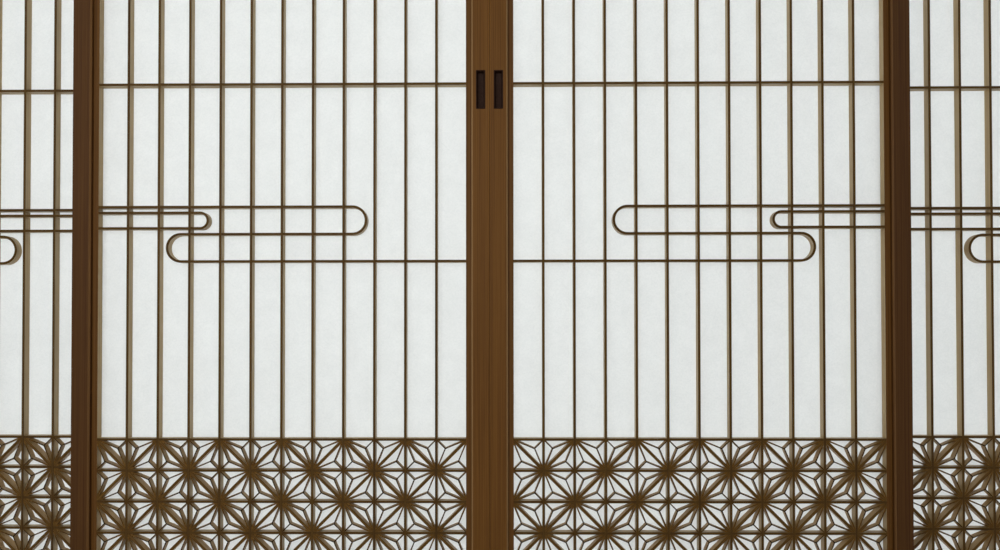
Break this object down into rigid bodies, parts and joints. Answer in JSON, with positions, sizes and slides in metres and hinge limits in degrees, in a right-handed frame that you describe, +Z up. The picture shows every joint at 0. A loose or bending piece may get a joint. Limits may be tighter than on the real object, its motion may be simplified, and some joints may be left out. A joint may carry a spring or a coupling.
{
  "type": "shoji sliding screen set",
  "caption": "Sliding wood lattice screens with translucent paper, mist-shaped bars, a hemp-leaf band at the foot and sunk finger pulls, running in a grooved wooden frame.",
  "frame": {"origin": "middle of the sill track's underside, at floor level", "axes": "+X along the tracks to the right seen from the room, -Y towards the room, +Z up"},
  "size_m": [3.2066, 0.11, 2.1541],
  "materials": {
    "panel_frame_wood": "satin dark brown stain",
    "lattice_wood": "satin dark brown stain",
    "track_wood": "satin brown stain",
    "screen_paper": "translucent white",
    "pull_metal": "satin dark bronze"
  },
  "bodies": {
    "frame": {"sill_track": "track_wood", "head_track": "track_wood", "left_jamb": "track_wood", "right_jamb": "track_wood"},
    "inner_left_panel": {"inner_left_left_stile": "panel_frame_wood", "inner_left_right_stile": "panel_frame_wood", "inner_left_top_rail": "panel_frame_wood", "inner_left_bottom_rail": "panel_frame_wood", "inner_left_border_strips": "lattice_wood", "inner_left_upright_bars": "lattice_wood", "inner_left_cross_bars": "lattice_wood", "inner_left_mist_bars": "lattice_wood", "inner_left_leaf_diagonals": "lattice_wood", "inner_left_leaf_pieces": "lattice_wood", "inner_left_paper": "screen_paper", "inner_left_finger_pull": "pull_metal"},
    "inner_right_panel": {"inner_right_left_stile": "panel_frame_wood", "inner_right_right_stile": "panel_frame_wood", "inner_right_top_rail": "panel_frame_wood", "inner_right_bottom_rail": "panel_frame_wood", "inner_right_border_strips": "lattice_wood", "inner_right_upright_bars": "lattice_wood", "inner_right_cross_bars": "lattice_wood", "inner_right_mist_bars": "lattice_wood", "inner_right_leaf_diagonals": "lattice_wood", "inner_right_leaf_pieces": "lattice_wood", "inner_right_paper": "screen_paper", "inner_right_finger_pull": "pull_metal"},
    "outer_left_panel": {"outer_left_left_stile": "panel_frame_wood", "outer_left_right_stile": "panel_frame_wood", "outer_left_top_rail": "panel_frame_wood", "outer_left_bottom_rail": "panel_frame_wood", "outer_left_border_strips": "lattice_wood", "outer_left_upright_bars": "lattice_wood", "outer_left_cross_bars": "lattice_wood", "outer_left_mist_bars": "lattice_wood", "outer_left_paper": "screen_paper", "outer_left_finger_pull": "pull_metal"},
    "outer_right_panel": {"outer_right_left_stile": "panel_frame_wood", "outer_right_right_stile": "panel_frame_wood", "outer_right_top_rail": "panel_frame_wood", "outer_right_bottom_rail": "panel_frame_wood", "outer_right_border_strips": "lattice_wood", "outer_right_upright_bars": "lattice_wood", "outer_right_cross_bars": "lattice_wood", "outer_right_mist_bars": "lattice_wood", "outer_right_paper": "screen_paper", "outer_right_finger_pull": "pull_metal"}
  },
  "joints": [
    {"name": "inner_left_slide", "type": "slide", "parent": "frame", "child": "inner_left_panel", "axis": [-1, 0, 0], "range_m": [0, 0.7658]},
    {"name": "inner_right_slide", "type": "slide", "parent": "frame", "child": "inner_right_panel", "axis": [1, 0, 0], "range_m": [0, 0.7658]},
    {"name": "outer_left_slide", "type": "slide", "parent": "frame", "child": "outer_left_panel", "axis": [1, 0, 0], "range_m": [0, 0.7658]},
    {"name": "outer_right_slide", "type": "slide", "parent": "frame", "child": "outer_right_panel", "axis": [-1, 0, 0], "range_m": [0, 0.7658]}
  ]
}
